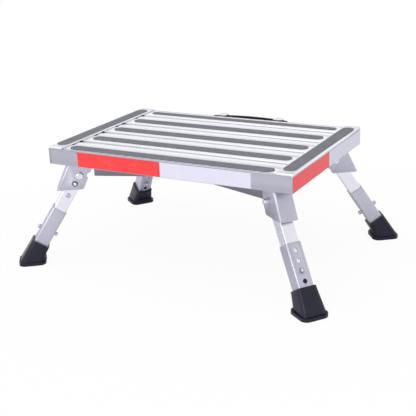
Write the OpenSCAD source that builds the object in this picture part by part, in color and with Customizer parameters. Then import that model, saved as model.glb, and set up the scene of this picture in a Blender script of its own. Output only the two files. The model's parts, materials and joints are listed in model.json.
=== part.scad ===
/* [Deck] */
// Length of the deck from side to side
deck_l = 480; // [420:1:560]
// Depth of the deck from front to back
deck_w = 320; // [290:1:380]
// Height of the frame below the tread
rail_h = 30; // [26:1:40]
// Distance of the outer grip strips from the long edges of the deck
first_strip = 18; // [17:0.5:20]
// Distance from the front of a plank to the middle of its grip strip
land_front = 25; // [23:0.5:27]
// Wall of the deck planks
slat_wall = 1.8; // [1.4:0.1:2.6]
// Height of the deck planks
slat_h = 14; // [13:0.5:18]
// Width of the flat land that carries a grip strip
land_w = 37; // [34:0.5:40]
// Sag of the arched band from its crown to its edges
arch_sag = 2.6; // [1.5:0.1:4]

/* [Frame] */
// Wall of the rails and end members
rail_wall = 2.4; // [1.8:0.1:3.2]
// Width of the bottom flange of a rail
flange_w = 35; // [30:1:42]
// Width of the ledge under the planks
ledge_w = 12; // [8:1:16]
// Radius of the bead along the top of a rail
bead_r = 1.2; // [0.9:0.1:1.8]
// Width of the cover strip of an end member
cover_w = 30; // [24:1:36]
// Thickness of the cover strip of an end member
cover_t = 3; // [2:0.1:4]

/* [Grips and tapes] */
// Length of a grip strip on a plank
grip_l = 402; // [340:1:408]
// Width of a grip strip on a plank
grip_w = 22; // [16:0.5:28]
// Width of the grip strip on the rear plank
rear_grip_w = 16; // [12:0.5:20]
// Distance of the grip strip on an end member from the corners of the deck
end_grip_gap = 15; // [8:1:40]
// Width of a grip strip on an end member
end_grip_w = 22.5; // [12:0.5:23]
// Thickness of the grip strips
grip_t = 0.8; // [0.4:0.1:1.2]
// Height of the reflective tapes
tape_h = 26.5; // [16:0.5:26.5]
// Length of a tape on a rail
tape_l = 172; // [100:1:180]
// Offset of the tapes on a rail from its middle
tape_shift = -5; // [-20:1:20]
// Distance of a tape on an end member from the corner of the deck
end_tape_gap = 2; // [1:1:60]
// Thickness of the tapes
tape_t = 0.3; // [0.2:0.05:0.5]

/* [Leg brackets] */
// Distance of a leg axis from the end of the deck
hip_in_x = 54; // [48:0.5:62]
// Distance of a leg axis from the long edge of the deck
hip_in_y = 39.3; // [36:0.1:46]
// Angle of the legs to the length of the deck
toe = 36; // [30:1:42]
// Angle of the legs to the vertical
splay = 33; // [28:1:36]
// Height of a bracket
bracket_h = 48.5; // [44:0.5:52]
// Tilt of the web and inner edge of a bracket
bracket_tilt = 25; // [22:0.5:27]
// Length of the top of a bracket
bracket_l = 48.4; // [46:0.1:52]
// Reach of a bracket towards the middle of the deck
bracket_back = 13; // [11:0.1:16]
// Sheet thickness of a bracket
sheet = 3; // [2:0.1:3.5]
// Outer radius of the folds of a bracket
fold_r = 4; // [3.6:0.1:5]
// Distance of the pivot below the frame along the leg
pivot_d = 27.4; // [26:0.1:29]
// Diameter of the pivot bolt
bolt_d = 6; // [5:0.5:7]
// Diameter of the head of the pivot bolt
bolt_head_d = 15; // [12:0.5:15.5]
// Width across the flats of the pivot nut
nut_af = 10; // [9:0.5:12]
// Thickness of the tie bars
tie_t = 3; // [2:0.1:3.5]
// Height of the tie bars
tie_h = 23.6; // [18:0.1:26]
// Distance of the bend of a tie bar from the middle of the deck
tie_bend = 74; // [66:1:90]

/* [Legs] */
// Width of a sleeve across the pivot axis
sleeve_n = 28; // [26:0.5:30]
// Depth of a sleeve
sleeve_e = 27; // [25:0.5:29]
// Wall of the sleeves and tubes
leg_wall = 1.7; // [1.4:0.1:2.2]
// Radius of the corners of the sleeves
leg_corner = 3; // [2:0.1:4]
// Length of a sleeve
sleeve_l = 104; // [98:0.5:112]
// Distance from the top of a sleeve to its first hole
hole_first = 13.6; // [10:0.1:16]
// Pitch of the holes for the height setting
hole_pitch = 17.25; // [15:0.25:19]
// Number of holes for the height setting
hole_count = 4; // [3:1:4]
// Hole in use, counted from 0 at the top
hole_used = 2; // [0:1:2]
// Diameter of the snap buttons
snap_d = 7.4; // [6:0.1:8]
// Distance of the snap buttons from the pivot
snap_from_pivot = 125; // [121:0.5:129]
// Length of an inner tube past its snap buttons
tube_past = 12.6; // [8:0.1:14]
// Reach of a snap button from the leg axis
snap_reach = 20; // [17:0.1:21]
// Length of an arm of the snap spring
snap_arm_l = 46; // [40:0.5:50]
// Diameter of the lock button
lock_d = 10; // [9:0.1:11]
// Diameter of the raised tip of the lock button
lock_tip_d = 7; // [5:0.1:8]
// Distance of the lock button from the pivot
lock_from_pivot = 17.1; // [16.5:0.1:18]
// Distance from the lock button to its rivet
lock_spring_l = 27.4; // [25:0.1:30]

/* [Feet] */
// Distance from the end of a sleeve to the ground along the leg
sole_t = 16.6; // [16:0.1:22]
// Length of sleeve held in a foot
foot_grip = 29.3; // [22:0.1:36]
// Wall of a foot round its sleeve
foot_wall = 3.7; // [3:0.1:5]
// Reach of a sole outwards from the leg axis
sole_out = 18.7; // [17:0.1:21]
// Reach of a sole inwards from the leg axis
sole_in = 31.4; // [28:0.1:34]
// Width of a sole
sole_w = 50; // [46:0.2:54]
// Thickness of the rim round a sole
sole_rim = 7; // [4:0.5:9]
// Radius of the corners of a sole
sole_corner = 12; // [6:0.5:14]

/* [Handle] */
// Distance of the handle from the middle of the deck
handle_x = 10; // [0:1:20]
// Distance of the middle of the handle below the tread
handle_drop = 11.5; // [11.5:0.1:15]
// Length of the handle strap
strap_l = 160; // [140:1:180]
// Height of the handle strap
strap_h = 23; // [16:0.5:23]
// Thickness of the handle strap
strap_t = 5.5; // [4:0.1:6]
// Rise of the strap at its middle
strap_rise = 12.5; // [9:0.1:14]
// Length of an end cap of the handle
cap_l = 18; // [16:0.5:24]
// Height of an end cap of the handle
cap_h = 28.5; // [27:0.1:29]
// Reach of an end cap from the rail
cap_reach = 16; // [15.5:0.1:18]
// Sheet thickness of an end cap
cap_wall = 1.5; // [1:0.1:2]

/* [Hidden] */
$fn = 64;

alu = [0.74, 0.74, 0.78];
bright = [0.9, 0.9, 0.93];
grip_grey = [0.4, 0.4, 0.43];
red = [0.95, 0.25, 0.25];
white = [0.9, 0.9, 0.96];
black = [0.1, 0.1, 0.11];
chrome = [0.85, 0.85, 0.88];
steel = [0.65, 0.65, 0.68];
nylon = [0.92, 0.92, 0.9];

// Seating and running clearances
seat_gap = 0.1;
slide_gap = 0.3;
pin_gap = 0.05;
button_gap = 0.3;
grip_gap = 1.5;

// The leg along its axis, measured from the underside of the frame
tube_n = sleeve_n - 2 * (leg_wall + slide_gap);
tube_e = sleeve_e - 2 * (leg_wall + slide_gap);
tube_corner = leg_corner - leg_wall;
tube_top = pivot_d - tube_e / 2;
snap_pos = pivot_d + snap_from_pivot;
tube_end = snap_pos + tube_past;
sleeve_top = snap_pos - hole_used * hole_pitch - hole_first;
sleeve_end = sleeve_top + sleeve_l;
ground_d = sleeve_end + sole_t;
lock_pos = pivot_d + lock_from_pivot;
rivet_pos = lock_pos + lock_spring_l;
deck_z = rail_h + ground_d * cos(splay);

// The hips, in the order front left, front right, rear right, rear left
hip_x = deck_l / 2 - hip_in_x;
hip_y = deck_w / 2 - hip_in_y;
hips = [[-hip_x, -hip_y], [hip_x, -hip_y], [hip_x, hip_y], [-hip_x, hip_y]];
azimuths = [180 + toe, 360 - toe, toe, 180 - toe];

// The bracket across the pivot axis
washer_t = 2;
cheek_in = tube_n / 2 + washer_t;
cheek_out = cheek_in + sheet;
pivot_x = pivot_d * sin(splay);
pivot_z = -pivot_d * cos(splay);
fold_angle = 90 + splay;
collar_h = 0.6;
collar_wall = 4;

// The rail section
lip = 0.8;
bead_h = 2 * bead_r;
slat_front = lip + rail_wall;
tape_edge = 0.4;
tape_top = bead_h + tape_edge;
end_tape_l = deck_w / 2 - end_tape_gap;
end_grip_l = deck_w - 2 * end_grip_gap;

// The plank section, measured from the middle of its grip strip
slat_pitch = (deck_w - 2 * first_strip) / 4;
joint_back = slat_pitch - land_front;
joint_front = -land_front;
land_end = joint_front + land_w;
valley_w = 2.5;
mid_web = land_end + valley_w / 2;
arch_start = land_end + valley_w;
arch_half = (joint_back - arch_start) / 2;
arch_mid = (joint_back + arch_start) / 2;
crown_gap = 0.2;
arch_rise = arch_sag - crown_gap;
arch_r = (arch_half * arch_half + arch_rise * arch_rise) / (2 * arch_rise);
slat_foot = 6;
joint_round = 0.8;

module rounded_rect(w, h, r) {
    square([w - 2 * r, h], center = true);
    square([w, h - 2 * r], center = true);
    for (i = [-1, 1], j = [-1, 1])
        translate([i * (w / 2 - r), j * (h / 2 - r)])
            circle(r);
}

module stadium(l, w) {
    square([l - w, w], center = true);
    for (i = [-1, 1])
        translate([i * (l - w) / 2, 0])
            circle(w / 2);
}

module along_x(l) {
    translate([-l / 2, 0, 0])
        rotate([90, 0, 90])
            linear_extrude(l)
                children();
}

module along_y(l) {
    translate([0, l / 2, 0])
        rotate([90, 0, 0])
            linear_extrude(l)
                children();
}

module at_deck() {
    translate([0, 0, deck_z])
        children();
}

module at_hip(i) {
    translate([hips[i][0], hips[i][1], deck_z - rail_h])
        rotate([0, 0, azimuths[i]])
            children();
}

module down_leg(d) {
    rotate([0, -splay, 0])
        translate([0, 0, -d])
            children();
}

// A cylinder along the pivot axis from n0 to n1
module across(d, n0, n1) {
    translate([0, n1, 0])
        rotate([90, 0, 0])
            cylinder(d = d, h = n1 - n0);
}

// The rail is drawn as the rear one, with its outer face at the back
module rail_section() {
    translate([-bead_r, -bead_r])
        circle(bead_r);
    translate([-slat_front, -rail_h])
        square([rail_wall, rail_h - bead_r]);
    translate([-slat_front - ledge_w, -slat_h - rail_wall])
        square([ledge_w + rail_wall, rail_wall]);
    translate([-flange_w, -rail_h])
        square([flange_w - lip, rail_wall]);
}

module rail_holes() {
    for (i = [2, 3])
        rivet_places(i)
            cylinder(d = rivet_d + 2 * pin_gap, h = 4 * rail_wall, center = true);
}

module rail_rear() {
    color(alu)
        difference() {
            at_deck()
                along_x(deck_l - 2 * rail_wall)
                    translate([deck_w / 2, 0])
                        rail_section();
            rail_holes();
            handle_rivet_places()
                across(rivet_d + 2 * pin_gap, -2 * slat_front, slat_front);
        }
}

module rail_front() {
    color(alu)
        difference() {
            at_deck()
                along_x(deck_l - 2 * rail_wall)
                    translate([-deck_w / 2, 0])
                        mirror([1, 0])
                            rail_section();
            mirror([0, 1, 0])
                rail_holes();
        }
}

// The end member is drawn as the right one
module end_section(with_ledge, with_lip) {
    edge = cover_t / 2;
    translate([-rail_wall, -rail_h])
        square([rail_wall, rail_h + cover_t - edge]);
    translate([edge - cover_w, 0])
        square([cover_w - 2 * edge, cover_t]);
    for (x = [edge - cover_w, -edge])
        translate([x, edge])
            circle(edge);
    if (with_ledge)
        translate([-rail_wall - ledge_w, -slat_h - rail_wall])
            square([ledge_w + rail_wall, rail_wall]);
    if (with_lip)
        translate([-rail_wall - ledge_w, -rail_h])
            square([ledge_w + rail_wall, rail_wall]);
}

module end_member(side) {
    ledge_l = deck_w - 2 * (slat_front + ledge_w + seat_gap);
    lip_l = deck_w - 2 * (flange_w + seat_gap);
    color(alu)
        at_deck()
            rotate([0, 0, side < 0 ? 180 : 0])
                translate([deck_l / 2, 0, 0]) {
                    along_y(deck_w)
                        end_section(false, false);
                    along_y(ledge_l)
                        end_section(true, false);
                    along_y(lip_l)
                        end_section(false, true);
                }
}

module end_left() {
    end_member(-1);
}

module end_right() {
    end_member(1);
}

// The skin, the webs and the feet of one plank, cut to the depth it fills
module slat_section(y0, y1) {
    intersection() {
        translate([y0, -slat_h])
            square([y1 - y0, slat_h]);
        union() {
            difference() {
                translate([joint_front, -slat_wall])
                    square([land_w, slat_wall]);
                translate([joint_front, 0])
                    rotate(45)
                        square(joint_round * sqrt(2), center = true);
            }
            translate([land_end - slat_wall, -arch_sag - slat_wall])
                square([slat_wall, arch_sag + slat_wall]);
            translate([land_end - slat_wall, -arch_sag - slat_wall])
                square([valley_w + 2 * slat_wall, slat_wall]);
            intersection() {
                translate([arch_mid, -crown_gap - arch_r])
                    difference() {
                        circle(arch_r, $fn = 256);
                        circle(arch_r - slat_wall, $fn = 256);
                    }
                translate([arch_start - slat_wall, -arch_sag - slat_wall])
                    square([2 * (arch_half + slat_wall), arch_sag + slat_wall]);
            }
            for (y = [mid_web - slat_wall / 2, y1 - slat_wall])
                translate([y, -slat_h])
                    square([slat_wall, slat_h - arch_sag - slat_wall / 2]);
            translate([y0, -slat_h])
                square([slat_wall, slat_h - 1.5 * joint_round]);
            translate([y0, -slat_h])
                square([slat_foot, slat_wall]);
            translate([y1 - slat_foot, -slat_h])
                square([slat_foot, slat_wall]);
        }
    }
}

// Planks 1 to 5 run from the front to the rear
function slat_mid(k) = (k - 3) * slat_pitch;
function slat_y0(k) = max(slat_mid(k) + joint_front, -deck_w / 2 + slat_front + seat_gap);
function slat_y1(k) = min(slat_mid(k) + joint_back, deck_w / 2 - slat_front - seat_gap);
rear_web = min(slat_y1(5) - slat_wall, slat_mid(5) + mid_web - slat_wall / 2);

module slat(k) {
    color(bright)
        at_deck()
            along_x(deck_l - 2 * (rail_wall + seat_gap))
                translate([slat_mid(k), 0])
                    slat_section(slat_y0(k) - slat_mid(k), slat_y1(k) - slat_mid(k));
}

module slat_1() {
    slat(1);
}

module slat_2() {
    slat(2);
}

module slat_3() {
    slat(3);
}

module slat_4() {
    slat(4);
}

module slat_5() {
    color(bright)
        difference() {
            slat(5);
            handle_rivet_places()
                across(rivet_d + 2 * pin_gap, -4 * slat_front, 0);
        }
}

module slat_grips() {
    color(grip_grey)
        at_deck()
            for (k = [1:5]) {
                w = k == 5 ? rear_grip_w : grip_w;
                translate([0, slat_mid(k) - (grip_w - w) / 2, 0])
                    linear_extrude(grip_t)
                        stadium(min(grip_l, deck_l - 2 * cover_w - 2 * grip_gap), w);
            }
}

module end_grips() {
    color(grip_grey)
        at_deck()
            for (side = [-1, 1])
                translate([side * (deck_l - cover_w) / 2, 0, cover_t])
                    linear_extrude(grip_t)
                        rotate(90)
                            stadium(end_grip_l, end_grip_w);
}

// One tape on each face of the frame, from the middle of the face towards its left or right end
module tapes(hand) {
    rail_x = tape_shift + (hand > 0 ? 0 : -tape_l);
    difference() {
        at_deck()
            for (turn = [0, 180])
                rotate(turn) {
                    translate([rail_x, lip - tape_t - deck_w / 2, -tape_top - tape_h])
                        cube([tape_l, tape_t, tape_h]);
                    translate([deck_l / 2, hand > 0 ? 0 : -end_tape_l, -tape_top - tape_h])
                        cube([tape_t, end_tape_l, tape_h]);
                }
        handle_rivet_places()
            across(rivet_d + 2 * pin_gap, -slat_front, slat_front);
    }
}

module red_tapes() {
    color(red)
        tapes(-1);
}

module white_tapes() {
    color(white)
        tapes(1);
}

// The tie bar is drawn as the front one, bent at its middle and cut off at the bracket cheeks,
// on the lock side clear of the button of the folded leg
tie_start = [
    hip_x - cheek_out * sin(toe) - cos(toe),
    hip_y + cheek_out * cos(toe) - sin(toe)
];
tie_turn = atan2(tie_start[1] - tie_bend, tie_start[0]);
tie_run = norm([tie_start[0], tie_start[1] - tie_bend]);
tie_flange = 12;
tie_over = 20;
lock_proud = 3;
tie_clear = lock_proud + button_gap + seat_gap;

module tie_half(depth) {
    intersection() {
        translate([0, -tie_bend])
            rotate(-tie_turn)
                translate([-depth, 0])
                    square([depth + tie_run + tie_over, depth]);
        translate([0, -deck_w])
            square([deck_l, deck_w]);
    }
}

module tie_outline(depth) {
    difference() {
        union() {
            tie_half(depth);
            mirror([1, 0])
                tie_half(depth);
        }
        for (i = [0, 1])
            translate([hips[i][0], hips[i][1]])
                rotate(azimuths[i])
                    translate([-deck_l / 2, i == 0 ? cheek_out + tie_clear - deck_w : -cheek_out])
                        square([deck_l, deck_w]);
    }
}

module tie_bar_front() {
    color(alu)
        translate([0, 0, deck_z - rail_h]) {
            translate([0, 0, -tie_h])
                linear_extrude(tie_h)
                    tie_outline(tie_t);
            translate([0, 0, -tie_t])
                linear_extrude(tie_t)
                    tie_outline(tie_flange);
        }
}

module tie_bar_rear() {
    rotate(180)
        tie_bar_front();
}

// Where the lock button stands when its leg is folded
module folded_button_place() {
    translate([pivot_x - lock_from_pivot, 0, pivot_z])
        children();
}

// The bracket, a folded channel whose web faces outwards
bracket_run = bracket_h / cos(bracket_tilt);
bracket_chamfer = 2;

module bracket_side() {
    slope = tan(bracket_tilt);
    foot_x = bracket_h * slope - bracket_back;
    rotate([90, 0, 0])
        linear_extrude(4 * cheek_out, center = true)
            polygon([
                [-bracket_back, 0],
                [bracket_l - bracket_back, 0],
                [foot_x + bracket_l, -bracket_h],
                [foot_x + bracket_chamfer, -bracket_h],
                [foot_x - bracket_chamfer * slope, bracket_chamfer - bracket_h]
            ]);
}

module channel(half, r, inset) {
    depth = bracket_l + bracket_run;
    translate([-depth - inset, -half + r])
        square([depth, 2 * half - 2 * r]);
    translate([-depth - inset, -half])
        square([depth - r, 2 * half]);
    for (side = [-1, 1])
        translate([-r - inset, side * (half - r)])
            circle(r);
}

module bracket(i) {
    color(alu)
        difference() {
            at_hip(i)
                bracket_solid();
            rivet_places(i)
                cylinder(d = rivet_d + 2 * pin_gap, h = 4 * sheet, center = true);
        }
}

module bracket_solid() {
    difference() {
        union() {
            intersection() {
                bracket_side();
                union() {
                    translate([bracket_l - bracket_back, 0, 0])
                        rotate([0, -bracket_tilt, 0])
                            translate([0, 0, -2 * bracket_run])
                                linear_extrude(4 * bracket_run)
                                    difference() {
                                        channel(cheek_out, fold_r, 0);
                                        channel(cheek_in, fold_r - sheet, sheet);
                                    }
                    translate([-bracket_back, -cheek_in - seat_gap, -sheet])
                        cube([bracket_l, 2 * (cheek_in + seat_gap), sheet]);
                }
            }
            down_leg(lock_pos)
                across(lock_hole + 2 * collar_wall, cheek_out - seat_gap, cheek_out + collar_h);
        }
        down_leg(pivot_d)
            across(bolt_d + 2 * pin_gap, -2 * cheek_out, 2 * cheek_out);
        down_leg(lock_pos)
            across(lock_hole, cheek_in - seat_gap, 2 * cheek_out);
        folded_button_place()
            across(lock_hole, cheek_in - seat_gap, 2 * cheek_out);
    }
}

lock_hole = lock_d + 2 * button_gap;

module leg_tube(i) {
    color(bright)
        at_hip(i) {
            difference() {
                down_leg(tube_end)
                    linear_extrude(tube_end - tube_top)
                        difference() {
                            rounded_rect(tube_e, tube_n, tube_corner);
                            square([tube_e - 2 * leg_wall, tube_n - 2 * leg_wall], center = true);
                        }
                down_leg(pivot_d)
                    across(bolt_d + 2 * pin_gap, -tube_n, tube_n);
                down_leg(lock_pos)
                    across(lock_hole, 0, tube_n);
                down_leg(rivet_pos)
                    across(rivet_d + 2 * pin_gap, 0, tube_n);
                down_leg(snap_pos)
                    rotate([0, 90, 0])
                        cylinder(d = snap_d + 2 * button_gap, h = 2 * tube_e, center = true);
            }
        }
}

// The lock spring, a leaf against the inner wall with the button riveted to it
leaf_t = 0.8;
leaf_w = 12;
leaf_out = tube_n / 2 - leg_wall - seat_gap;
lock_reach = cheek_out + lock_proud;
lock_ledge = 0.5;
lock_dome = 1.5;

module lock_spring(i) {
    color(steel)
        at_hip(i) {
            difference() {
                translate([0, leaf_out - leaf_t, 0])
                    down_leg(rivet_pos)
                        rotate([-90, 0, 0])
                            linear_extrude(leaf_t)
                                translate([0, -lock_spring_l / 2])
                                    rotate(90)
                                        stadium(lock_spring_l + leaf_w, leaf_w);
                down_leg(rivet_pos)
                    across(rivet_d + 2 * pin_gap, 0, tube_n);
            }
            down_leg(lock_pos)
                rotate([-90, 0, 0])
                    translate([0, 0, leaf_out - leaf_t / 2])
                        rotate_extrude() {
                            button_section(lock_tip_d / 2, lock_reach - leaf_out + leaf_t / 2,
                                lock_dome);
                            square([lock_d / 2, cheek_out - lock_ledge - leaf_out + leaf_t / 2]);
                        }
        }
}

// Half section of a button with a rounded tip
module button_section(r, h, round) {
    square([r, h - round]);
    square([r - round, h]);
    intersection() {
        translate([r - round, h - round])
            circle(round);
        square([r, h]);
    }
}

rivet_d = 4;
rivet_head_d = 10;
rivet_head_t = 1.5;
tail_d = 6.5;
flange_head_d = 8;
cap_head_d = 7;
tail_t = 1.2;

// A rivet along +Z whose head stands on z = 0 and whose tail closes at the depth of its grip
module rivet(head_d, head_t, grip) {
    rotate_extrude() {
        button_section(head_d / 2, head_t, head_t * 0.7);
        translate([0, -grip - tail_t])
            square([rivet_d / 2, grip + tail_t + head_t / 2]);
        translate([0, -grip - tail_t])
            square([tail_d / 2, tail_t]);
    }
}

module lock_rivet(i) {
    color(chrome)
        at_hip(i)
            down_leg(rivet_pos)
                translate([0, tube_n / 2, 0])
                    rotate([-90, 0, 0])
                        rivet(rivet_head_d, rivet_head_t, leg_wall + seat_gap + leaf_t);
}

module leg_sleeve(i) {
    color(alu)
        at_hip(i)
            difference() {
                down_leg(sleeve_end)
                    linear_extrude(sleeve_l)
                        difference() {
                            rounded_rect(sleeve_e, sleeve_n, leg_corner);
                            square([sleeve_e - 2 * leg_wall, sleeve_n - 2 * leg_wall], center = true);
                        }
                for (k = [0:hole_count - 1])
                    down_leg(sleeve_top + hole_first + k * hole_pitch)
                        rotate([0, 90, 0])
                            cylinder(d = snap_d + 2 * button_gap, h = 2 * sleeve_e, center = true);
            }
}

// One arm of the snap spring, from the middle of its bow to its button
snap_t = 1;
snap_w = 9;
arm_e = tube_e / 2 - leg_wall - 0.5;

module snap_arm(i, side) {
    bow_d = snap_pos - snap_arm_l;
    color(steel)
        at_hip(i)
            down_leg(bow_d)
                rotate([0, 0, side < 0 ? 180 : 0]) {
                    rotate([90, 0, 0])
                        translate([0, 0, -snap_w / 2])
                            linear_extrude(snap_w) {
                                intersection() {
                                    difference() {
                                        circle(arm_e);
                                        circle(arm_e - snap_t);
                                    }
                                    translate([seat_gap, 0])
                                        square(arm_e);
                                }
                                translate([arm_e - snap_t, -snap_arm_l - snap_w / 2])
                                    square([snap_t, snap_arm_l + snap_w / 2]);
                            }
                    translate([arm_e - snap_t / 2, 0, -snap_arm_l])
                        rotate([0, 90, 0])
                            rotate_extrude()
                                button_section(snap_d / 2, snap_reach - arm_e + snap_t / 2, 2.2);
                }
}

// The foot, a boot on the end of the sleeve with a wide flat sole
foot_top = sleeve_end - foot_grip;
foot_corner = leg_corner + foot_wall;
boot_low = 10;
boot_flare = 6;
sole_l = sole_in + sole_out;
sole_mid = ground_d * sin(splay) + (sole_out - sole_in) / 2;

module at_ground(h) {
    translate([sole_mid, 0, h - ground_d * cos(splay)])
        children();
}

module foot(i) {
    color(black)
        at_hip(i)
            difference() {
                union() {
                    at_ground(0)
                        linear_extrude(sole_rim)
                            rounded_rect(sole_l, sole_w, sole_corner);
                    hull() {
                        at_ground(sole_rim - 1)
                            linear_extrude(1)
                                rounded_rect(sole_l, sole_w, sole_corner, $fn = 32);
                        at_ground(boot_low)
                            linear_extrude(1)
                                rounded_rect(sole_l - boot_flare, sole_w - boot_flare, sole_corner - 3, $fn = 32);
                    }
                    hull() {
                        at_ground(boot_low)
                            linear_extrude(1)
                                rounded_rect(sole_l - boot_flare, sole_w - boot_flare, sole_corner - 3, $fn = 32);
                        down_leg(foot_top + 2)
                            linear_extrude(2)
                                rounded_rect(sleeve_e + 2 * foot_wall, sleeve_n + 2 * foot_wall,
                                    foot_corner, $fn = 32);
                    }
                }
                down_leg(sleeve_end)
                    linear_extrude(foot_grip + 2)
                        rounded_rect(sleeve_e + 2 * pin_gap, sleeve_n + 2 * pin_gap,
                            leg_corner + pin_gap);
            }
}

// The pivots, with the bolt head on the lock side of the bracket
head_t = 4;
key_af = 4;
nut_t = 5;
nut_collar = 2;
bolt_past = 1;

module pivot_bolts() {
    color(chrome)
        for (i = [0:3])
            at_hip(i)
                down_leg(pivot_d)
                    rotate([-90, 0, 0])
                        translate([0, 0, cheek_out])
                            difference() {
                                rotate_extrude() {
                                    button_section(bolt_head_d / 2, head_t, head_t * 0.8);
                                    translate([0, -2 * cheek_out - nut_t - nut_collar - bolt_past])
                                        square([bolt_d / 2, 2 * cheek_out + nut_t + nut_collar
                                            + bolt_past + 1]);
                                }
                                translate([0, 0, head_t - 2])
                                    cylinder(d = key_af / cos(30), h = head_t, $fn = 6);
                            }
}

module pivot_nuts() {
    color(chrome)
        for (i = [0:3])
            at_hip(i)
                down_leg(pivot_d)
                    rotate([90, 0, 0])
                        translate([0, 0, cheek_out])
                            difference() {
                                union() {
                                    cylinder(d = nut_af / cos(30), h = nut_t, $fn = 6);
                                    cylinder(d = nut_af - 0.6, h = nut_t + nut_collar);
                                }
                                translate([0, 0, -1])
                                    cylinder(d = bolt_d + 2 * pin_gap, h = 3 * nut_t);
                            }
}

module pivot_washers() {
    color(nylon)
        for (i = [0:3])
            at_hip(i)
                down_leg(pivot_d)
                    for (side = [-1, 1])
                        rotate([side * 90, 0, 0])
                            translate([0, 0, tube_n / 2 + slide_gap])
                                difference() {
                                    cylinder(d = 2 * bolt_d + 2, h = washer_t - slide_gap);
                                    translate([0, 0, -1])
                                        cylinder(d = bolt_d + 2 * pin_gap, h = 2 * washer_t);
                                }
}

// The rivets that hold a bracket under its rail
rivet_x = 25;
rivet_n = 8;

module rivet_places(i) {
    at_hip(i)
        for (side = [-1, 1])
            translate([rivet_x, side * rivet_n, 0])
                children();
}

module bracket_rivets() {
    color(chrome)
        for (i = [0:3])
            rivet_places(i)
                translate([0, 0, rail_wall])
                    rivet(flange_head_d, rivet_head_t, rail_wall + sheet);
}

// The handle is an arched strap held under two bridges on the rear rail
strap_half = strap_l / 2;
strap_r = (strap_half * strap_half + strap_rise * strap_rise) / (2 * strap_rise);
strap_gap = 0.5;
strap_slot = 12;
strap_past = 10;
function strap_out(x) = strap_rise + strap_gap - strap_r + sqrt(pow(strap_r + strap_t, 2) - x * x);
cap_inner = strap_half - strap_past - cap_l;
cap_edge = 2;
cap_flat = 10;
cap_end_h = strap_out(cap_inner + cap_l) + cap_wall + strap_gap;
cap_rivet_x = cap_inner + (cap_edge + cap_flat) / 2;
cap_rivet_rise = handle_drop - (arch_sag + slat_h) / 2;

module at_handle() {
    translate([handle_x, deck_w / 2 + pin_gap, deck_z - handle_drop])
        children();
}

module handle_rivet_places() {
    at_handle()
        for (side = [-1, 1])
            translate([side * cap_rivet_x, 0, cap_rivet_rise])
                children();
}

module strap_outline() {
    intersection() {
        translate([0, strap_rise + strap_gap - strap_r])
            difference() {
                circle(strap_r + strap_t, $fn = 360);
                circle(strap_r, $fn = 360);
            }
        translate([-strap_half, 0])
            square([strap_l, 4 * strap_rise]);
    }
}

// A slot at each rivet lets the strap bow out when it is lifted
module handle_strap() {
    color(black)
        difference() {
            at_handle()
                translate([0, 0, -strap_h / 2])
                    linear_extrude(strap_h)
                        strap_outline();
            handle_rivet_places()
                rotate([-90, 0, 0])
                    linear_extrude(3 * strap_rise)
                        stadium(strap_slot, rivet_d + 2 * button_gap);
        }
}

// The outline of the right cap, seen from above
module cap_outline() {
    polygon([
        [cap_inner, 0],
        [cap_inner, cap_reach - cap_edge],
        [cap_inner + cap_edge, cap_reach],
        [cap_inner + cap_flat, cap_reach],
        [cap_inner + cap_l, cap_end_h],
        [cap_inner + cap_l, 0]
    ]);
}

module handle_cap(side) {
    color(chrome)
        difference() {
            at_handle()
                rotate([0, side < 0 ? 180 : 0, 0])
                    difference() {
                        translate([0, 0, -cap_h / 2])
                            linear_extrude(cap_h)
                                cap_outline();
                        translate([0, -cap_wall, cap_wall - cap_h / 2])
                            linear_extrude(cap_h - 2 * cap_wall) {
                                cap_outline();
                                translate([cap_inner - cap_l, 0])
                                    square([cap_l + cap_wall, cap_reach]);
                                translate([cap_inner + cap_l / 2, 0])
                                    square([cap_l, cap_end_h]);
                            }
                    }
            handle_rivet_places()
                across(rivet_d + 2 * pin_gap, -cap_reach, 2 * cap_reach);
        }
}

module handle_cap_left() {
    handle_cap(-1);
}

module handle_cap_right() {
    handle_cap(1);
}

// Each rivet stands on the flat of its cap and closes behind the rear web of the last plank
module handle_rivets() {
    color(chrome)
        handle_rivet_places()
            translate([0, cap_reach, 0])
                rotate([-90, 0, 0])
                    rivet(cap_head_d, rivet_head_t, cap_reach + pin_gap + deck_w / 2 - rear_web);
}

rail_front();
rail_rear();
end_left();
end_right();
slat_1();
slat_2();
slat_3();
slat_4();
slat_5();
slat_grips();
end_grips();
red_tapes();
white_tapes();
tie_bar_front();
tie_bar_rear();
handle_strap();
handle_cap_left();
handle_cap_right();
handle_rivets();
pivot_bolts();
pivot_nuts();
pivot_washers();
bracket_rivets();
bracket(0);  // bracket_fl
leg_tube(0);  // tube_fl
lock_spring(0);  // lock_spring_fl
lock_rivet(0);  // lock_rivet_fl
leg_sleeve(0);  // sleeve_fl
snap_arm(0, 1);  // snap_arm_outer_fl
snap_arm(0, -1);  // snap_arm_inner_fl
foot(0);  // foot_fl
bracket(1);  // bracket_fr
leg_tube(1);  // tube_fr
lock_spring(1);  // lock_spring_fr
lock_rivet(1);  // lock_rivet_fr
leg_sleeve(1);  // sleeve_fr
snap_arm(1, 1);  // snap_arm_outer_fr
snap_arm(1, -1);  // snap_arm_inner_fr
foot(1);  // foot_fr
bracket(2);  // bracket_rr
leg_tube(2);  // tube_rr
lock_spring(2);  // lock_spring_rr
lock_rivet(2);  // lock_rivet_rr
leg_sleeve(2);  // sleeve_rr
snap_arm(2, 1);  // snap_arm_outer_rr
snap_arm(2, -1);  // snap_arm_inner_rr
foot(2);  // foot_rr
bracket(3);  // bracket_rl
leg_tube(3);  // tube_rl
lock_spring(3);  // lock_spring_rl
lock_rivet(3);  // lock_rivet_rl
leg_sleeve(3);  // sleeve_rl
snap_arm(3, 1);  // snap_arm_outer_rl
snap_arm(3, -1);  // snap_arm_inner_rl
foot(3);  // foot_rl
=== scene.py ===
import bpy
import json
import math
from mathutils import Matrix, Vector


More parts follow.
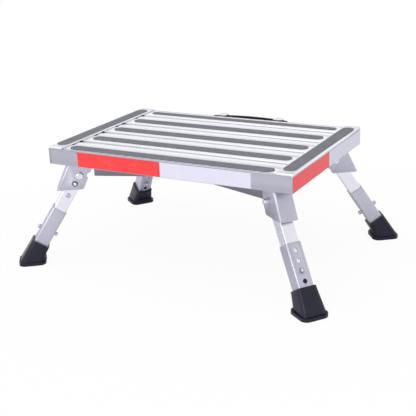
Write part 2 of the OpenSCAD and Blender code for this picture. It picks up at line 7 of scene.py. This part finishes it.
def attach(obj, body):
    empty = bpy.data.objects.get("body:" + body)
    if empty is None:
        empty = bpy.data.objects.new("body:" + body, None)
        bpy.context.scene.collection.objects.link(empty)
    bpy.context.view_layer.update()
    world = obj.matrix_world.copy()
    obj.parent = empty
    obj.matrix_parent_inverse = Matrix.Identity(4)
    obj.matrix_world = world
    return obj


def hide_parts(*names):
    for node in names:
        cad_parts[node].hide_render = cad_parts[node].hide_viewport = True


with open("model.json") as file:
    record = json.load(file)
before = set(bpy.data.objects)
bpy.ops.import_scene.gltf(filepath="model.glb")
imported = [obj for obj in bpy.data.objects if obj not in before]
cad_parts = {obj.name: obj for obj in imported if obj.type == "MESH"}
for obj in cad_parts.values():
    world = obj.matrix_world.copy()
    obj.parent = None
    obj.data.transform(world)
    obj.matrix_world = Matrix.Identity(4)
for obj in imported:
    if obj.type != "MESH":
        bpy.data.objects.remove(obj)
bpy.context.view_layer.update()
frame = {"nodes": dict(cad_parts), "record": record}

MM = 0.001
UP = Vector((0, 0, 1))
LENGTHWAYS = Vector((1, 0, 0))
DEPTHWAYS = Vector((0, 1, 0))
LEGS = ("fl", "fr", "rr", "rl")
WHITE = (1.0, 1.0, 1.0)

# Sizes shared with the solids. splay is a leg's angle off the upright, and toe its angle
# off the length of the deck, seen from above.
splay = math.radians(33)
toe = math.radians(36)
azimuths = dict(zip(LEGS, (math.pi + toe, -toe, toe, math.pi - toe)))
hip_x, hip_y = 0.186, 0.1207
hips = {
    "fl": Vector((-hip_x, -hip_y, 0)),
    "fr": Vector((hip_x, -hip_y, 0)),
    "rr": Vector((hip_x, hip_y, 0)),
    "rl": Vector((-hip_x, hip_y, 0)),
}
deck_top = 0.218617
# From the middle of a leg to the outer face of its bracket
cheek = 0.017
# The joint in front of the middle plank, and from one joint to the next, in millimetres
middle_joint = -25
plank_pitch = 71


def make_camera():
    """The camera at the photograph's viewing angle. right and up are its own axes, turned
    by the roll."""
    image_width = 416
    focal_pixels = 886
    sensor_width = 36
    roll = math.radians(-2.38)
    forward = Vector((-0.45853, 0.82433, -0.33200))
    sideways = Vector((0.87391, 0.48611, 0))
    upwards = sideways.cross(forward)
    right = math.cos(roll) * sideways + math.sin(roll) * upwards
    up = math.cos(roll) * upwards - math.sin(roll) * sideways
    data = bpy.data.cameras.new("camera")
    data.sensor_width = sensor_width
    data.lens = sensor_width * focal_pixels / image_width
    camera = bpy.data.objects.new("camera", data)
    place = Matrix((right, up, -forward)).transposed().to_4x4()
    place.translation = Vector((0.7666, -1.3829, 0.6383))
    camera.matrix_world = place
    bpy.context.scene.collection.objects.link(camera)
    bpy.context.scene.camera = camera


make_camera()


class Value:
    """A shader socket that can be used in sums."""

    def __init__(self, net, socket):
        self.net = net
        self.socket = socket

    def math(self, operation, left, right):
        return self.net.node("Math", {"operation": operation}, {0: left, 1: right})

    def __add__(self, other):
        return self.math("ADD", self, other)

    def __radd__(self, other):
        return self.math("ADD", other, self)

    def __sub__(self, other):
        return self.math("SUBTRACT", self, other)

    def __rsub__(self, other):
        return self.math("SUBTRACT", other, self)

    def __mul__(self, other):
        return self.math("MULTIPLY", self, other)

    def __rmul__(self, other):
        return self.math("MULTIPLY", other, self)


class Net:
    """The nodes of one material or world."""

    def __init__(self, owner):
        owner.use_nodes = True
        self.owner = owner
        self.tree = owner.node_tree
        self.tree.nodes.clear()

    def node(self, kind, settings=None, sockets=None, output=0):
        """Adds a node, sets it, fills its sockets and gives one of its outputs."""
        node = self.tree.nodes.new("ShaderNode" + kind)
        for name, setting in (settings or {}).items():
            setattr(node, name, setting)
        for name, given in (sockets or {}).items():
            if isinstance(given, Value):
                self.tree.links.new(given.socket, node.inputs[name])
            else:
                node.inputs[name].default_value = given
        return Value(self, node.outputs[output]) if node.outputs else node

    def spot(self):
        """Object coordinates, in metres."""
        return self.node("TexCoord", output="Object")

    def place(self, scale=1000):
        """Object coordinates times a scale, which is one number or one for each axis.
        Without a scale they are in millimetres."""
        if isinstance(scale, (int, float)):
            scale = (scale, scale, scale)
        return self.node("Mapping", {}, {"Vector": self.spot(), "Scale": scale})

    def part(self, where, letter):
        """The X, Y or Z of a vector."""
        return self.node("SeparateXYZ", {}, {"Vector": where}, letter)

    def reach(self, where, direction):
        """How far a place lies along a direction."""
        return self.node(
            "VectorMath", {"operation": "DOT_PRODUCT"}, {0: where, 1: direction}, "Value"
        )

    def wave(self, value, half):
        """Goes up from 0 to half and down again, over and over."""
        return self.node("Math", {"operation": "PINGPONG"}, {0: value, 1: half})

    def noise(self, where, detail, rough=0.5, distortion=0.0, scale=1.0):
        return self.node(
            "TexNoise",
            {},
            {"Vector": where, "Scale": scale, "Detail": detail, "Roughness": rough,
             "Distortion": distortion},
        )

    def lines(self, axis, across, along_scale, across_scale):
        """Noise drawn out along an axis, like the lines that drawing or rolling leaves."""
        where = self.spot()
        drawn = {
            "X": self.reach(where, axis) * along_scale,
            "Y": self.reach(where, across) * across_scale,
            "Z": self.reach(where, axis.cross(across)) * across_scale,
        }
        return self.noise(self.node("CombineXYZ", {}, drawn), detail=2)

    def spread(self, value, low, high, to_low=0.0, to_high=1.0):
        """Takes low..high to to_low..to_high, held at both ends."""
        return self.node(
            "MapRange",
            {},
            {"Value": value, "From Min": low, "From Max": high, "To Min": to_low,
             "To Max": to_high},
        )

    def mix(self, share, first, second):
        """Two colours mixed. The colour sockets of a Mix node are found by their number."""
        factor_in, first_in, second_in, colour_out = 0, 6, 7, 2
        return self.node(
            "Mix",
            {"data_type": "RGBA"},
            {factor_in: share, first_in: colour(first), second_in: colour(second)},
            colour_out,
        )

    def bump(self, height, strength, distance):
        """A bump whose full height is the distance, in metres."""
        return self.node(
            "Bump", {}, {"Height": height, "Strength": strength, "Distance": distance}
        )

    def surface(self, tone, **sockets):
        """The closing shader of a piece."""
        given = {"Base Color": tone}
        given.update({name.replace("_", " "): value for name, value in sockets.items()})
        shader = self.node("BsdfPrincipled", {}, given)
        self.node("OutputMaterial", {}, {"Surface": shader})
        return self.owner


def colour(shade):
    """A socket's colour: a link stays a link, and three numbers get their alpha."""
    return shade if isinstance(shade, Value) else (*shade, 1.0)


def tint(shade, factor):
    """A shade made paler or darker."""
    return [min(1, part * factor) for part in shade]


def new_net(name):
    return Net(bpy.data.materials.new(name))


# Finishes. A pattern's scale is in cells per metre, and a bump's distance is in metres.
def drawn_metal(
    name, axis, across, shade, rough=0.36, line=0.10, marks=0.5, top=None, joint=None
):
    """Extruded or drawn aluminium, with fine lines along its length and a few handling
    marks. The top face at deck height can be painted paler than the sides, a painted
    highlight, and the joints between the planks can hold grime."""
    net = new_net(name)
    fine = net.lines(axis, across, along_scale=2, across_scale=420)
    broad = net.lines(axis, across, along_scale=1.2, across_scale=90)
    cloud = net.noise(net.place(9), detail=3, rough=0.6)
    handled = net.noise(net.place(38), detail=6, rough=0.7, distortion=1.5)
    rub = net.spread(handled, 0.56, 0.72)
    tone = net.mix(
        net.spread(broad, 0.3, 0.7), tint(shade, 1 - line), tint(shade, 1 + line / 2)
    )
    cloud_share, cloud_dark = 0.25, 0.86
    tone = net.mix(
        net.spread(cloud, 0.3, 0.75) * cloud_share, tone, tint(shade, cloud_dark)
    )
    line_rough, rub_rough = line * 0.8, marks * 0.10
    rough_map = rough + (fine - 0.5) * line_rough + rub * rub_rough
    # The top face at deck height is painted paler than the sides: a painted highlight.
    if top:
        lit_top_from, lit_top_full = deck_top / MM - 0.9, deck_top / MM - 0.3
        height = net.part(net.place(), "Z")
        tone = net.mix(net.spread(height, lit_top_from, lit_top_full), tone, top)
    if joint:
        first, pitch = joint
        full_within, gone_at, grime_share = 0.4, 1.2, 0.42
        grime_shade, grime_rough = (0.10, 0.10, 0.11), 0.3
        depth = net.part(net.place(), "Y")
        away = net.wave(depth - first, pitch / 2)
        grime = net.spread(away, full_within, gone_at, grime_share, 0.0)
        tone = net.mix(grime, tone, grime_shade)
        rough_map = rough_map + grime * grime_rough
    return net.surface(
        tone, Metallic=1.0, Roughness=rough_map, Normal=net.bump(fine, line, 0.00005)
    )


def sheet_metal(name, shade, rough=0.4):
    """Folded sheet, with the fine grain of its rolled finish, soft clouds and scuffs."""
    net = new_net(name)
    grain = net.noise(net.place((500, 500, 160)), detail=3, rough=0.65)
    cloud = net.noise(net.place(22), detail=4, rough=0.6)
    knocked = net.noise(net.place((60, 60, 150)), detail=6, rough=0.75, distortion=2.0)
    scuff = net.spread(knocked, 0.6, 0.75)
    cloud_dark, scuff_dark, scuff_share = 0.93, 0.82, 0.3
    tone = net.mix(net.spread(cloud, 0.3, 0.7), tint(shade, cloud_dark), shade)
    tone = net.mix(scuff * scuff_share, tone, tint(shade, scuff_dark))
    grain_rough, scuff_rough = 0.18, 0.08
    return net.surface(
        tone,
        Metallic=1.0,
        Roughness=rough + (grain - 0.5) * grain_rough + scuff * scuff_rough,
        Normal=net.bump(grain, 0.12, 0.0001),
    )


def plated_metal(name, shade=(0.86, 0.86, 0.88), rough=0.13):
    """Bright zinc or chrome plating, slightly rippled and hazed."""
    net = new_net(name)
    ripple = net.noise(net.place(160), detail=2)
    haze = net.noise(net.place(45), detail=5, rough=0.65)
    haze_dark, haze_share, haze_rough = 0.78, 0.4, 0.14
    tone = net.mix(net.spread(haze, 0.45, 0.8) * haze_share, shade, tint(shade, haze_dark))
    return net.surface(
        tone,
        Metallic=1.0,
        Roughness=rough + net.spread(haze, 0.4, 0.8) * haze_rough,
        Normal=net.bump(ripple, 0.06, 0.0004),
    )


def button_metal(name, hip, across):
    """Sprung button: painted shade where it sits in the bracket's hole, standing in for the
    shadowed gap round it, and bright steel where it stands proud of the bracket.
    """
    net = new_net(name)
    haze = net.noise(net.place(90), detail=4, rough=0.6)
    flush = hip.dot(across) + cheek
    full = flush + 0.4 * MM
    proud = net.spread(net.reach(net.spot(), across), flush, full)
    # The part in the hole gets a painted shade, for the shadow in the gap round it.
    sunk_painted_shade, bright = (0.07, 0.07, 0.075), (0.84, 0.84, 0.86)
    rough, haze_rough, dark_rough = 0.2, 0.16, 0.2
    return net.surface(
        net.mix(proud, sunk_painted_shade, bright),
        Metallic=1.0,
        Roughness=rough + haze * haze_rough + (1 - proud) * dark_rough,
        Normal=net.bump(haze, 0.05, 0.0003),
    )


def grit(name, shade):
    """Anti-slip strip: mineral grit in a grey binder, worn a little paler in patches."""
    net = new_net(name)
    where = net.place()
    grains_per_mm = 1.5
    cell = {"Vector": where, "Scale": grains_per_mm}
    edge = net.node("TexVoronoi", {"feature": "F1"}, cell, "Distance")
    grain = net.node("TexVoronoi", {"feature": "F1"}, cell, "Color")
    each = net.node("SeparateColor", {}, {"Color": grain})
    small = net.noise(where, detail=4, rough=0.7, scale=2.6)
    trodden = net.noise(net.place((14, 30, 14)), detail=4, rough=0.6)
    worn = net.spread(trodden, 0.42, 0.72)
    height = (1 - edge) * 0.7 + small * 0.5
    darkest, palest, sparkle, worn_pale = 0.62, 1.38, 2.2, 1.3
    sparkle_share, worn_share = 0.5, 0.3
    tone = net.mix(each, tint(shade, darkest), tint(shade, palest))
    tone = net.mix(net.spread(each, 0.9, 0.97) * sparkle_share, tone, tint(shade, sparkle))
    tone = net.mix(worn * worn_share, tone, tint(shade, worn_pale))
    rough, small_rough = 0.62, 0.3
    return net.surface(
        tone,
        Roughness=rough + small * small_rough,
        Normal=net.bump(height, 0.7, 0.0006),
    )


def tape(name, shade, line_shade, back):
    """Retroreflective tape: a lattice of sealed cells under a clear glossy face. It glows
    a little in its own colour, a painted glow that stands in for the light it sends back."""
    net = new_net(name)
    where = net.spot()
    run = net.part(where, "X") + net.part(where, "Y")
    height = net.part(where, "Z")
    cell, line_wide = 4.2 * MM, 0.35 * MM
    slope, start = 0.577, 2.0
    rising, falling = [
        net.spread(net.wave(height + run * lean + start, cell), 0.0, line_wide, 1.0, 0.0)
        for lean in (slope, -slope)
    ]
    seal = net.node("Math", {"operation": "MAXIMUM"}, {0: rising, 1: falling})
    dust = net.noise(net.place(70), detail=5, rough=0.65)
    prism = net.noise(net.place(700), detail=1)
    dust_shade = (0.74, 0.72, 0.74)
    seal_share, dust_share, prism_share = 0.45, 0.08, 0.10
    tone = net.mix(seal * seal_share, shade, line_shade)
    tone = net.mix(net.spread(dust, 0.5, 0.85) * dust_share, tone, dust_shade)
    tone = net.mix(net.spread(prism, 0.45, 0.7) * prism_share, tone, line_shade)
    rough, dust_rough = 0.3, 0.15
    return net.surface(
        tone,
        Roughness=rough + net.spread(dust, 0.4, 0.8) * dust_rough,
        Normal=net.bump(1 - seal, 0.12, 0.0002),
        Coat_Weight=0.15,
        Coat_Roughness=0.2,
        # Emission: a painted glow in the tape's own colour.
        Emission_Color=tone,
        Emission_Strength=back,
    )


def rubber(name):
    """Moulded rubber with a fine stipple, dusty in patches and more so near the ground."""
    net = new_net(name)
    stipple = net.noise(net.place(900), detail=3, rough=0.6)
    patch = net.noise(net.place(60), detail=5, rough=0.65)
    dusty_height = 11.0
    low = net.spread(net.part(net.place(), "Z"), 0.0, dusty_height, 1.0, 0.0)
    high_share, extra_low_share = 0.2, 0.4
    dust = net.spread(patch, 0.46, 0.78) * (high_share + low * extra_low_share)
    black, dust_shade, dust_share = (0.006, 0.006, 0.02), (0.08, 0.077, 0.098), 0.22
    rough, dust_rough, stipple_rough = 0.3, 0.22, 0.12
    return net.surface(
        net.mix(dust * dust_share, black, dust_shade),
        Roughness=rough + dust * dust_rough + (stipple - 0.5) * stipple_rough,
        Normal=net.bump(stipple, 0.14, 0.0002),
        Specular_IOR_Level=0.4,
    )


def plastic(name, shade, rough, gloss=0.5):
    """Moulded plastic with the fine grain of its mould, paler where it is handled."""
    net = new_net(name)
    stipple = net.noise(net.place(700), detail=2)
    handled = net.noise(net.place(50), detail=4, rough=0.6)
    handled_share, handled_pale, handled_rough = 0.5, 1.35, 0.15
    tone = net.mix(
        net.spread(handled, 0.4, 0.75) * handled_share, shade, tint(shade, handled_pale)
    )
    return net.surface(
        tone,
        Roughness=rough + (handled - 0.5) * handled_rough,
        Normal=net.bump(stipple, 0.12, 0.0002),
        Specular_IOR_Level=gloss,
    )


def leg_axes(leg):
    """Up the leg, and across it on the lock side."""
    turn = azimuths[leg]
    outward = Vector((math.cos(turn), math.sin(turn), 0))
    across = Vector((-math.sin(turn), math.cos(turn), 0))
    return UP * math.cos(splay) - outward * math.sin(splay), across


tread = (0.94, 0.94, 0.975)
finish = {
    "rail": drawn_metal("rail_aluminium", LENGTHWAYS, DEPTHWAYS, (0.49, 0.485, 0.56)),
    # The end members' top faces take the planks' pale tone, a painted highlight.
    "end": drawn_metal(
        "end_member_aluminium", DEPTHWAYS, LENGTHWAYS, (0.54, 0.535, 0.60),
        rough=0.3, top=tread,
    ),
    "slat": drawn_metal(
        "plank_aluminium", LENGTHWAYS, DEPTHWAYS, tread,
        rough=0.2, line=0.02, marks=0.6, joint=(middle_joint, plank_pitch),
    ),
    "grip": grit("grip_strip", (0.155, 0.155, 0.182)),
    # back sets the strength of each tape's painted glow.
    "red": tape("red_tape", (0.78, 0.022, 0.024), (0.72, 0.08, 0.08), back=0.16),
    "white": tape("white_tape", (0.695, 0.69, 0.81), (0.57, 0.57, 0.68), back=0.04),
    "strap": plastic("handle_strap", (0.008, 0.008, 0.009), rough=0.62, gloss=0.2),
    "plated": plated_metal("bright_plating"),
    "steel": plated_metal("spring_steel", (0.60, 0.60, 0.63), rough=0.2),
    "nylon": plastic("nylon", (0.82, 0.82, 0.79), rough=0.45),
    "bracket": sheet_metal("bracket_sheet", (0.59, 0.585, 0.68)),
    "tie": sheet_metal("tie_bar_sheet", (0.245, 0.24, 0.28), rough=0.45),
    "rubber": rubber("foot_rubber"),
}
for leg in LEGS:
    axis, across = leg_axes(leg)
    finish["lock_spring_" + leg] = button_metal("lock_button_" + leg, hips[leg], across)
    finish["tube_" + leg] = drawn_metal(
        "tube_aluminium_" + leg, axis, across, (0.93, 0.93, 1.0),
        rough=0.24, line=0.02, marks=0.5,
    )
    finish["sleeve_" + leg] = drawn_metal(
        "sleeve_aluminium_" + leg, axis, across, (0.61, 0.605, 0.70),
        rough=0.36, line=0.06, marks=1.0,
    )

# The first start that a node's name has picks its finish. The lock springs, tubes and
# sleeves have one of their own for each leg.
finish_by_start = {
    "rail": "rail",
    "end_grips": "grip",
    "end": "end",
    "slat_grips": "grip",
    "slat": "slat",
    "red": "red",
    "white": "white",
    "tie": "tie",
    "handle_strap": "strap",
    "handle": "plated",
    "pivot_w": "nylon",
    "pivot": "plated",
    "bracket_rivets": "plated",
    "bracket": "bracket",
    "lock_rivet": "steel",
    "snap_arm": "steel",
    "foot": "rubber",
}


def finish_of(node):
    """The finish of a CAD node, by its name."""
    for start, name in finish_by_start.items():
        if node.startswith(start):
            return finish[name]
    return finish[node]


def paint(piece, material):
    """Gives a piece one material."""
    piece.data.materials.clear()
    piece.data.materials.append(material)


for name, node in frame["nodes"].items():
    paint(node, finish_of(name))


# Ways of working on a mesh
def leave_mesh():
    """Back to object mode, with nothing selected."""
    if bpy.context.object and bpy.context.object.mode != "OBJECT":
        bpy.ops.object.mode_set(mode="OBJECT")
    bpy.ops.object.select_all(action="DESELECT")


def only(*pieces):
    """Selects just these pieces, the first one active."""
    leave_mesh()
    for piece in pieces:
        piece.select_set(True)
    bpy.context.view_layer.objects.active = pieces[0]


def copy_of(piece):
    """A copy of a piece, with a mesh of its own."""
    only(piece)
    bpy.ops.object.duplicate()
    return bpy.context.object


def apply_place(piece):
    """Puts a piece's place and turn into its mesh."""
    only(piece)
    bpy.ops.object.transform_apply(location=True, rotation=True, scale=True)


def choose(piece, test, kind="FACE"):
    """Goes to edit mode with just the faces or edges that pass the test selected."""
    only(piece)
    mesh = piece.data
    bpy.ops.object.mode_set(mode="EDIT")
    bpy.ops.mesh.select_mode(type=kind)
    bpy.ops.mesh.select_all(action="DESELECT")
    bpy.ops.object.mode_set(mode="OBJECT")
    if kind == "FACE":
        for face in mesh.polygons:
            face.select = test(face.center, face.normal)
    else:
        for edge in mesh.edges:
            start, end = [mesh.vertices[i].co for i in edge.vertices]
            edge.select = test((start + end) / 2, (end - start).normalized())
    bpy.ops.object.mode_set(mode="EDIT")


def inset(thickness, depth=0, each=False):
    """Insets the selected faces and then raises them, both in millimetres."""
    bpy.ops.mesh.inset(thickness=thickness * MM, depth=depth * MM, use_individual=each)


def break_edges(piece, width, segments, sharper_than):
    """Bevels each edge that turns by more than an angle, in degrees."""
    only(piece)
    bevel = piece.modifiers.new("bevel", "BEVEL")
    bevel.width = width
    bevel.segments = segments
    bevel.limit_method = "ANGLE"
    bevel.angle_limit = math.radians(sharper_than)
    bevel.use_clamp_overlap = True
    bpy.ops.object.modifier_apply(modifier=bevel.name)


def finish_piece(piece, name, material, body, stands_for, smooth=35):
    """Names, smooths and paints a piece, sets it on the body it rides on, and hides the CAD
    parts it stands for.
    """
    only(piece)
    bpy.ops.object.shade_smooth_by_angle(angle=math.radians(smooth))
    piece.name = name
    piece.data.name = name
    paint(piece, material)
    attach(piece, body)
    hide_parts(*stands_for)


def rounded_block(size, corner):
    """A block on the origin with its upright edges rounded."""
    leave_mesh()
    bpy.ops.mesh.primitive_cube_add(size=1, scale=size)
    block = bpy.context.object
    apply_place(block)
    choose(block, lambda middle, along: abs(along.z) > 0.99, "EDGE")
    bpy.ops.mesh.bevel(offset=corner, segments=6, affect="EDGES")
    bpy.ops.object.mode_set(mode="OBJECT")
    return block


# Feet: one boot is modelled in the frame of a hip that faces +X, then set on each leg
leg_down = Vector((math.sin(splay), 0, -math.cos(splay)))


def make_sole():
    """The sole: a rim, a waist that rises to the collar, and grooves underneath."""
    long, wide, high, corner = 50.1 * MM, 50 * MM, 6.2 * MM, 12 * MM
    middle_x = 116.139 * MM
    sole = rounded_block((long, wide, high), corner)
    sole.location = (middle_x, 0, high / 2)
    apply_place(sole)

    choose(sole, lambda middle, normal: normal.z > 0.9)
    rim_wide, rim_step, waist_in, waist_rise = 1.6, -1.1, 1.4, 4.6
    inset(rim_wide)
    inset(0.5, rim_step)
    inset(waist_in)
    inset(0.3, waist_rise)

    def underneath(middle, normal):
        return normal.z < -0.9

    choose(sole, underneath)
    border = 2.4
    inset(border)
    groove_pitch, groove_half, groove_deep = 5.6 * MM, 1.1 * MM, 1.4
    grooves = [middle_x + step * groove_pitch for step in range(-3, 4)]
    for groove in grooves:
        for edge in (groove - groove_half, groove + groove_half):
            choose(sole, underneath)
            bpy.ops.mesh.bisect(plane_co=(edge, 0, 0), plane_no=(1, 0, 0))
    inner = wide / 2 - 2.5 * MM

    def in_groove(middle, normal):
        near = any(abs(middle.x - groove) < 0.6 * MM for groove in grooves)
        return underneath(middle, normal) and abs(middle.y) < inner and near

    choose(sole, in_groove)
    inset(0.05, -groove_deep, each=True)
    leave_mesh()
    return sole


def make_boot():
    """The sole and the collar, bridged, with the socket that the sleeve stands in."""
    sole = make_sole()
    deep, wide, high, corner = 34.4 * MM, 35.4 * MM, 4 * MM, 6.7 * MM
    mouth = Vector((97.49, 0, 38.5)) * MM
    collar = rounded_block((deep, wide, high), corner)
    collar.rotation_euler = (0, -splay, 0)
    collar.location = mouth + leg_down * (high / 2)
    apply_place(collar)

    leg_up = -leg_down
    choose(collar, lambda middle, normal: normal.dot(leg_up) < -0.9)
    bpy.ops.mesh.delete(type="FACE")
    bpy.ops.object.mode_set(mode="OBJECT")
    top = max(vertex.co.z for vertex in sole.data.vertices)
    choose(sole, lambda middle, normal: normal.z > 0.9 and middle.z > top - 0.1 * MM)
    bpy.ops.mesh.delete(type="FACE")

    only(sole, collar)
    bpy.ops.object.join()
    boot = bpy.context.object
    bpy.ops.object.mode_set(mode="EDIT")
    bpy.ops.mesh.select_mode(type="EDGE")
    bpy.ops.mesh.select_all(action="DESELECT")
    bpy.ops.mesh.select_non_manifold()
    bpy.ops.mesh.bridge_edge_loops()

    def in_mouth(middle, normal):
        return normal.dot(leg_up) > 0.99 and (middle - mouth).length < 1 * MM

    choose(boot, in_mouth)
    wall, socket_deep = 3.65, 29.3 * MM
    inset(wall)
    bpy.ops.mesh.extrude_region_move(
        TRANSFORM_OT_translate={"value": leg_down * socket_deep}
    )
    bpy.ops.object.mode_set(mode="OBJECT")
    break_edges(boot, 1.1 * MM, 3, 32)
    return boot


boot = make_boot()
for leg in LEGS:
    copy = copy_of(boot)
    copy.rotation_euler = (0, 0, azimuths[leg])
    copy.location = hips[leg]
    apply_place(copy)
    finish_piece(copy, "boot_" + leg, finish["rubber"], "sleeve_" + leg, ["foot_" + leg],
                 30)
only(boot)
bpy.ops.object.delete()


# Solids whose edges are broken as on the real piece, each from a merged copy of its node
body_with = {
    node: body
    for body, nodes in frame["record"]["behaviour"]["bodies"].items()
    for node in nodes
}


def soften(node, width, segments=2):
    """A copy of a CAD node with its sharp edges bevelled by a width in millimetres."""
    copy = copy_of(frame["nodes"][node])
    copy.parent = None
    only(copy)
    bpy.ops.object.mode_set(mode="EDIT")
    bpy.ops.mesh.select_all(action="SELECT")
    bpy.ops.mesh.remove_doubles(threshold=0.002 * MM)
    bpy.ops.mesh.dissolve_limited(angle_limit=math.radians(1))
    bpy.ops.object.mode_set(mode="OBJECT")
    normals = copy.data.attributes.get("custom_normal")
    if normals:
        copy.data.attributes.remove(normals)
    break_edges(copy, width * MM, segments, 30)
    finish_piece(copy, node + "_soft", finish_of(node), body_with[node], [node])


for node in ("handle_cap_left", "handle_cap_right"):
    soften(node, 0.5, 3)
soften("handle_strap", 1.1, 3)
for node in ("end_left", "end_right", "tie_bar_front", "tie_bar_rear"):
    soften(node, 0.3)
for leg in LEGS:
    soften("bracket_" + leg, 0.45)
    soften("sleeve_" + leg, 0.25)
soften("pivot_bolts", 0.5, 3)
soften("pivot_nuts", 0.3)
soften("bracket_rivets", 0.35)


def make_floor():
    """A pale floor that keeps the step's shadow near it and goes white further out."""
    just_below = -0.2 * MM
    floor_radius = 12
    bpy.ops.mesh.primitive_circle_add(vertices=96, radius=floor_radius, fill_type="NGON",
                                      location=(0, 0, just_below))
    floor = bpy.context.object
    floor.name = "floor"
    net = new_net("pale_floor")
    away = net.node("VectorMath", {"operation": "LENGTH"}, {0: net.place(1)}, "Value")
    seen = net.node("LightPath", output="Is Camera Ray")
    mirrored = net.node("LightPath", output="Is Glossy Ray")
    through = net.node("LightPath", output="Is Transmission Ray")
    pale = (0.80, 0.80, 0.81)
    plain = net.node("BsdfDiffuse", {}, {"Color": colour(pale)})
    white = net.node("Emission", {}, {"Color": colour(WHITE), "Strength": 1.0})
    near_white = 0.93
    to_camera = seen * net.spread(away, 0.25, 0.8, near_white, 1.0)
    share = to_camera + (mirrored + through) * net.spread(away, 0.4, 1.8)
    shown = net.node("MixShader", {}, {0: share, 1: plain, 2: white})
    net.node("OutputMaterial", {}, {"Surface": shown})
    paint(floor, net.owner)


def make_sky():
    """A white studio to the camera. To the step it is a soft room that darkens high up at
    the back."""
    world = bpy.data.worlds.new("studio")
    bpy.context.scene.world = world
    net = Net(world)
    toward = net.node("TexCoord", output="Generated")
    height = net.part(toward, "Z")
    dark_high_up, at_horizon, overhead = 0.34, 0.80, 0.94
    sweep = net.spread(height, 0.46, 0.80, 1.0, dark_high_up)
    room = net.spread(height, 0.0, 0.8, at_horizon, overhead)
    behind = net.spread(net.part(toward, "Y"), -0.15, 0.45)
    glow = room + (sweep - room) * behind
    cool = (0.975, 0.975, 1.0)
    lit = net.node("Background", {}, {"Color": colour(cool), "Strength": glow})
    white = net.node("Background", {}, {"Color": colour(WHITE), "Strength": 1.0})
    seen = net.node("LightPath", output="Is Camera Ray")
    shown = net.node("MixShader", {}, {0: seen, 1: lit, 2: white})
    net.node("OutputWorld", {}, {"Surface": shown})


def make_lamp(name, place, target, size, watts):
    """A soft oblong lamp that faces its target."""
    data = bpy.data.lights.new(name, "AREA")
    data.shape = "RECTANGLE"
    data.size, data.size_y = size
    data.energy = watts
    lamp = bpy.data.objects.new(name, data)
    lamp.location = place
    toward = Vector(target) - Vector(place)
    lamp.rotation_euler = toward.to_track_quat("-Z", "Y").to_euler()
    bpy.context.scene.collection.objects.link(lamp)


make_floor()
make_sky()
middle = (0, 0, 0.1)
make_lamp("top_light", (-0.3, -0.2, 2.2), middle, (1.8, 1.8), watts=14)
make_lamp("front_light", (-1.4, -2.2, 1.0), middle, (1.2, 1.2), watts=6)
make_lamp("strip_light", (0.05, -2.3, 0.75), (0.05, 0, 0.1), (0.35, 1.5), watts=9)

scene = bpy.context.scene
scene.view_settings.view_transform = "Standard"
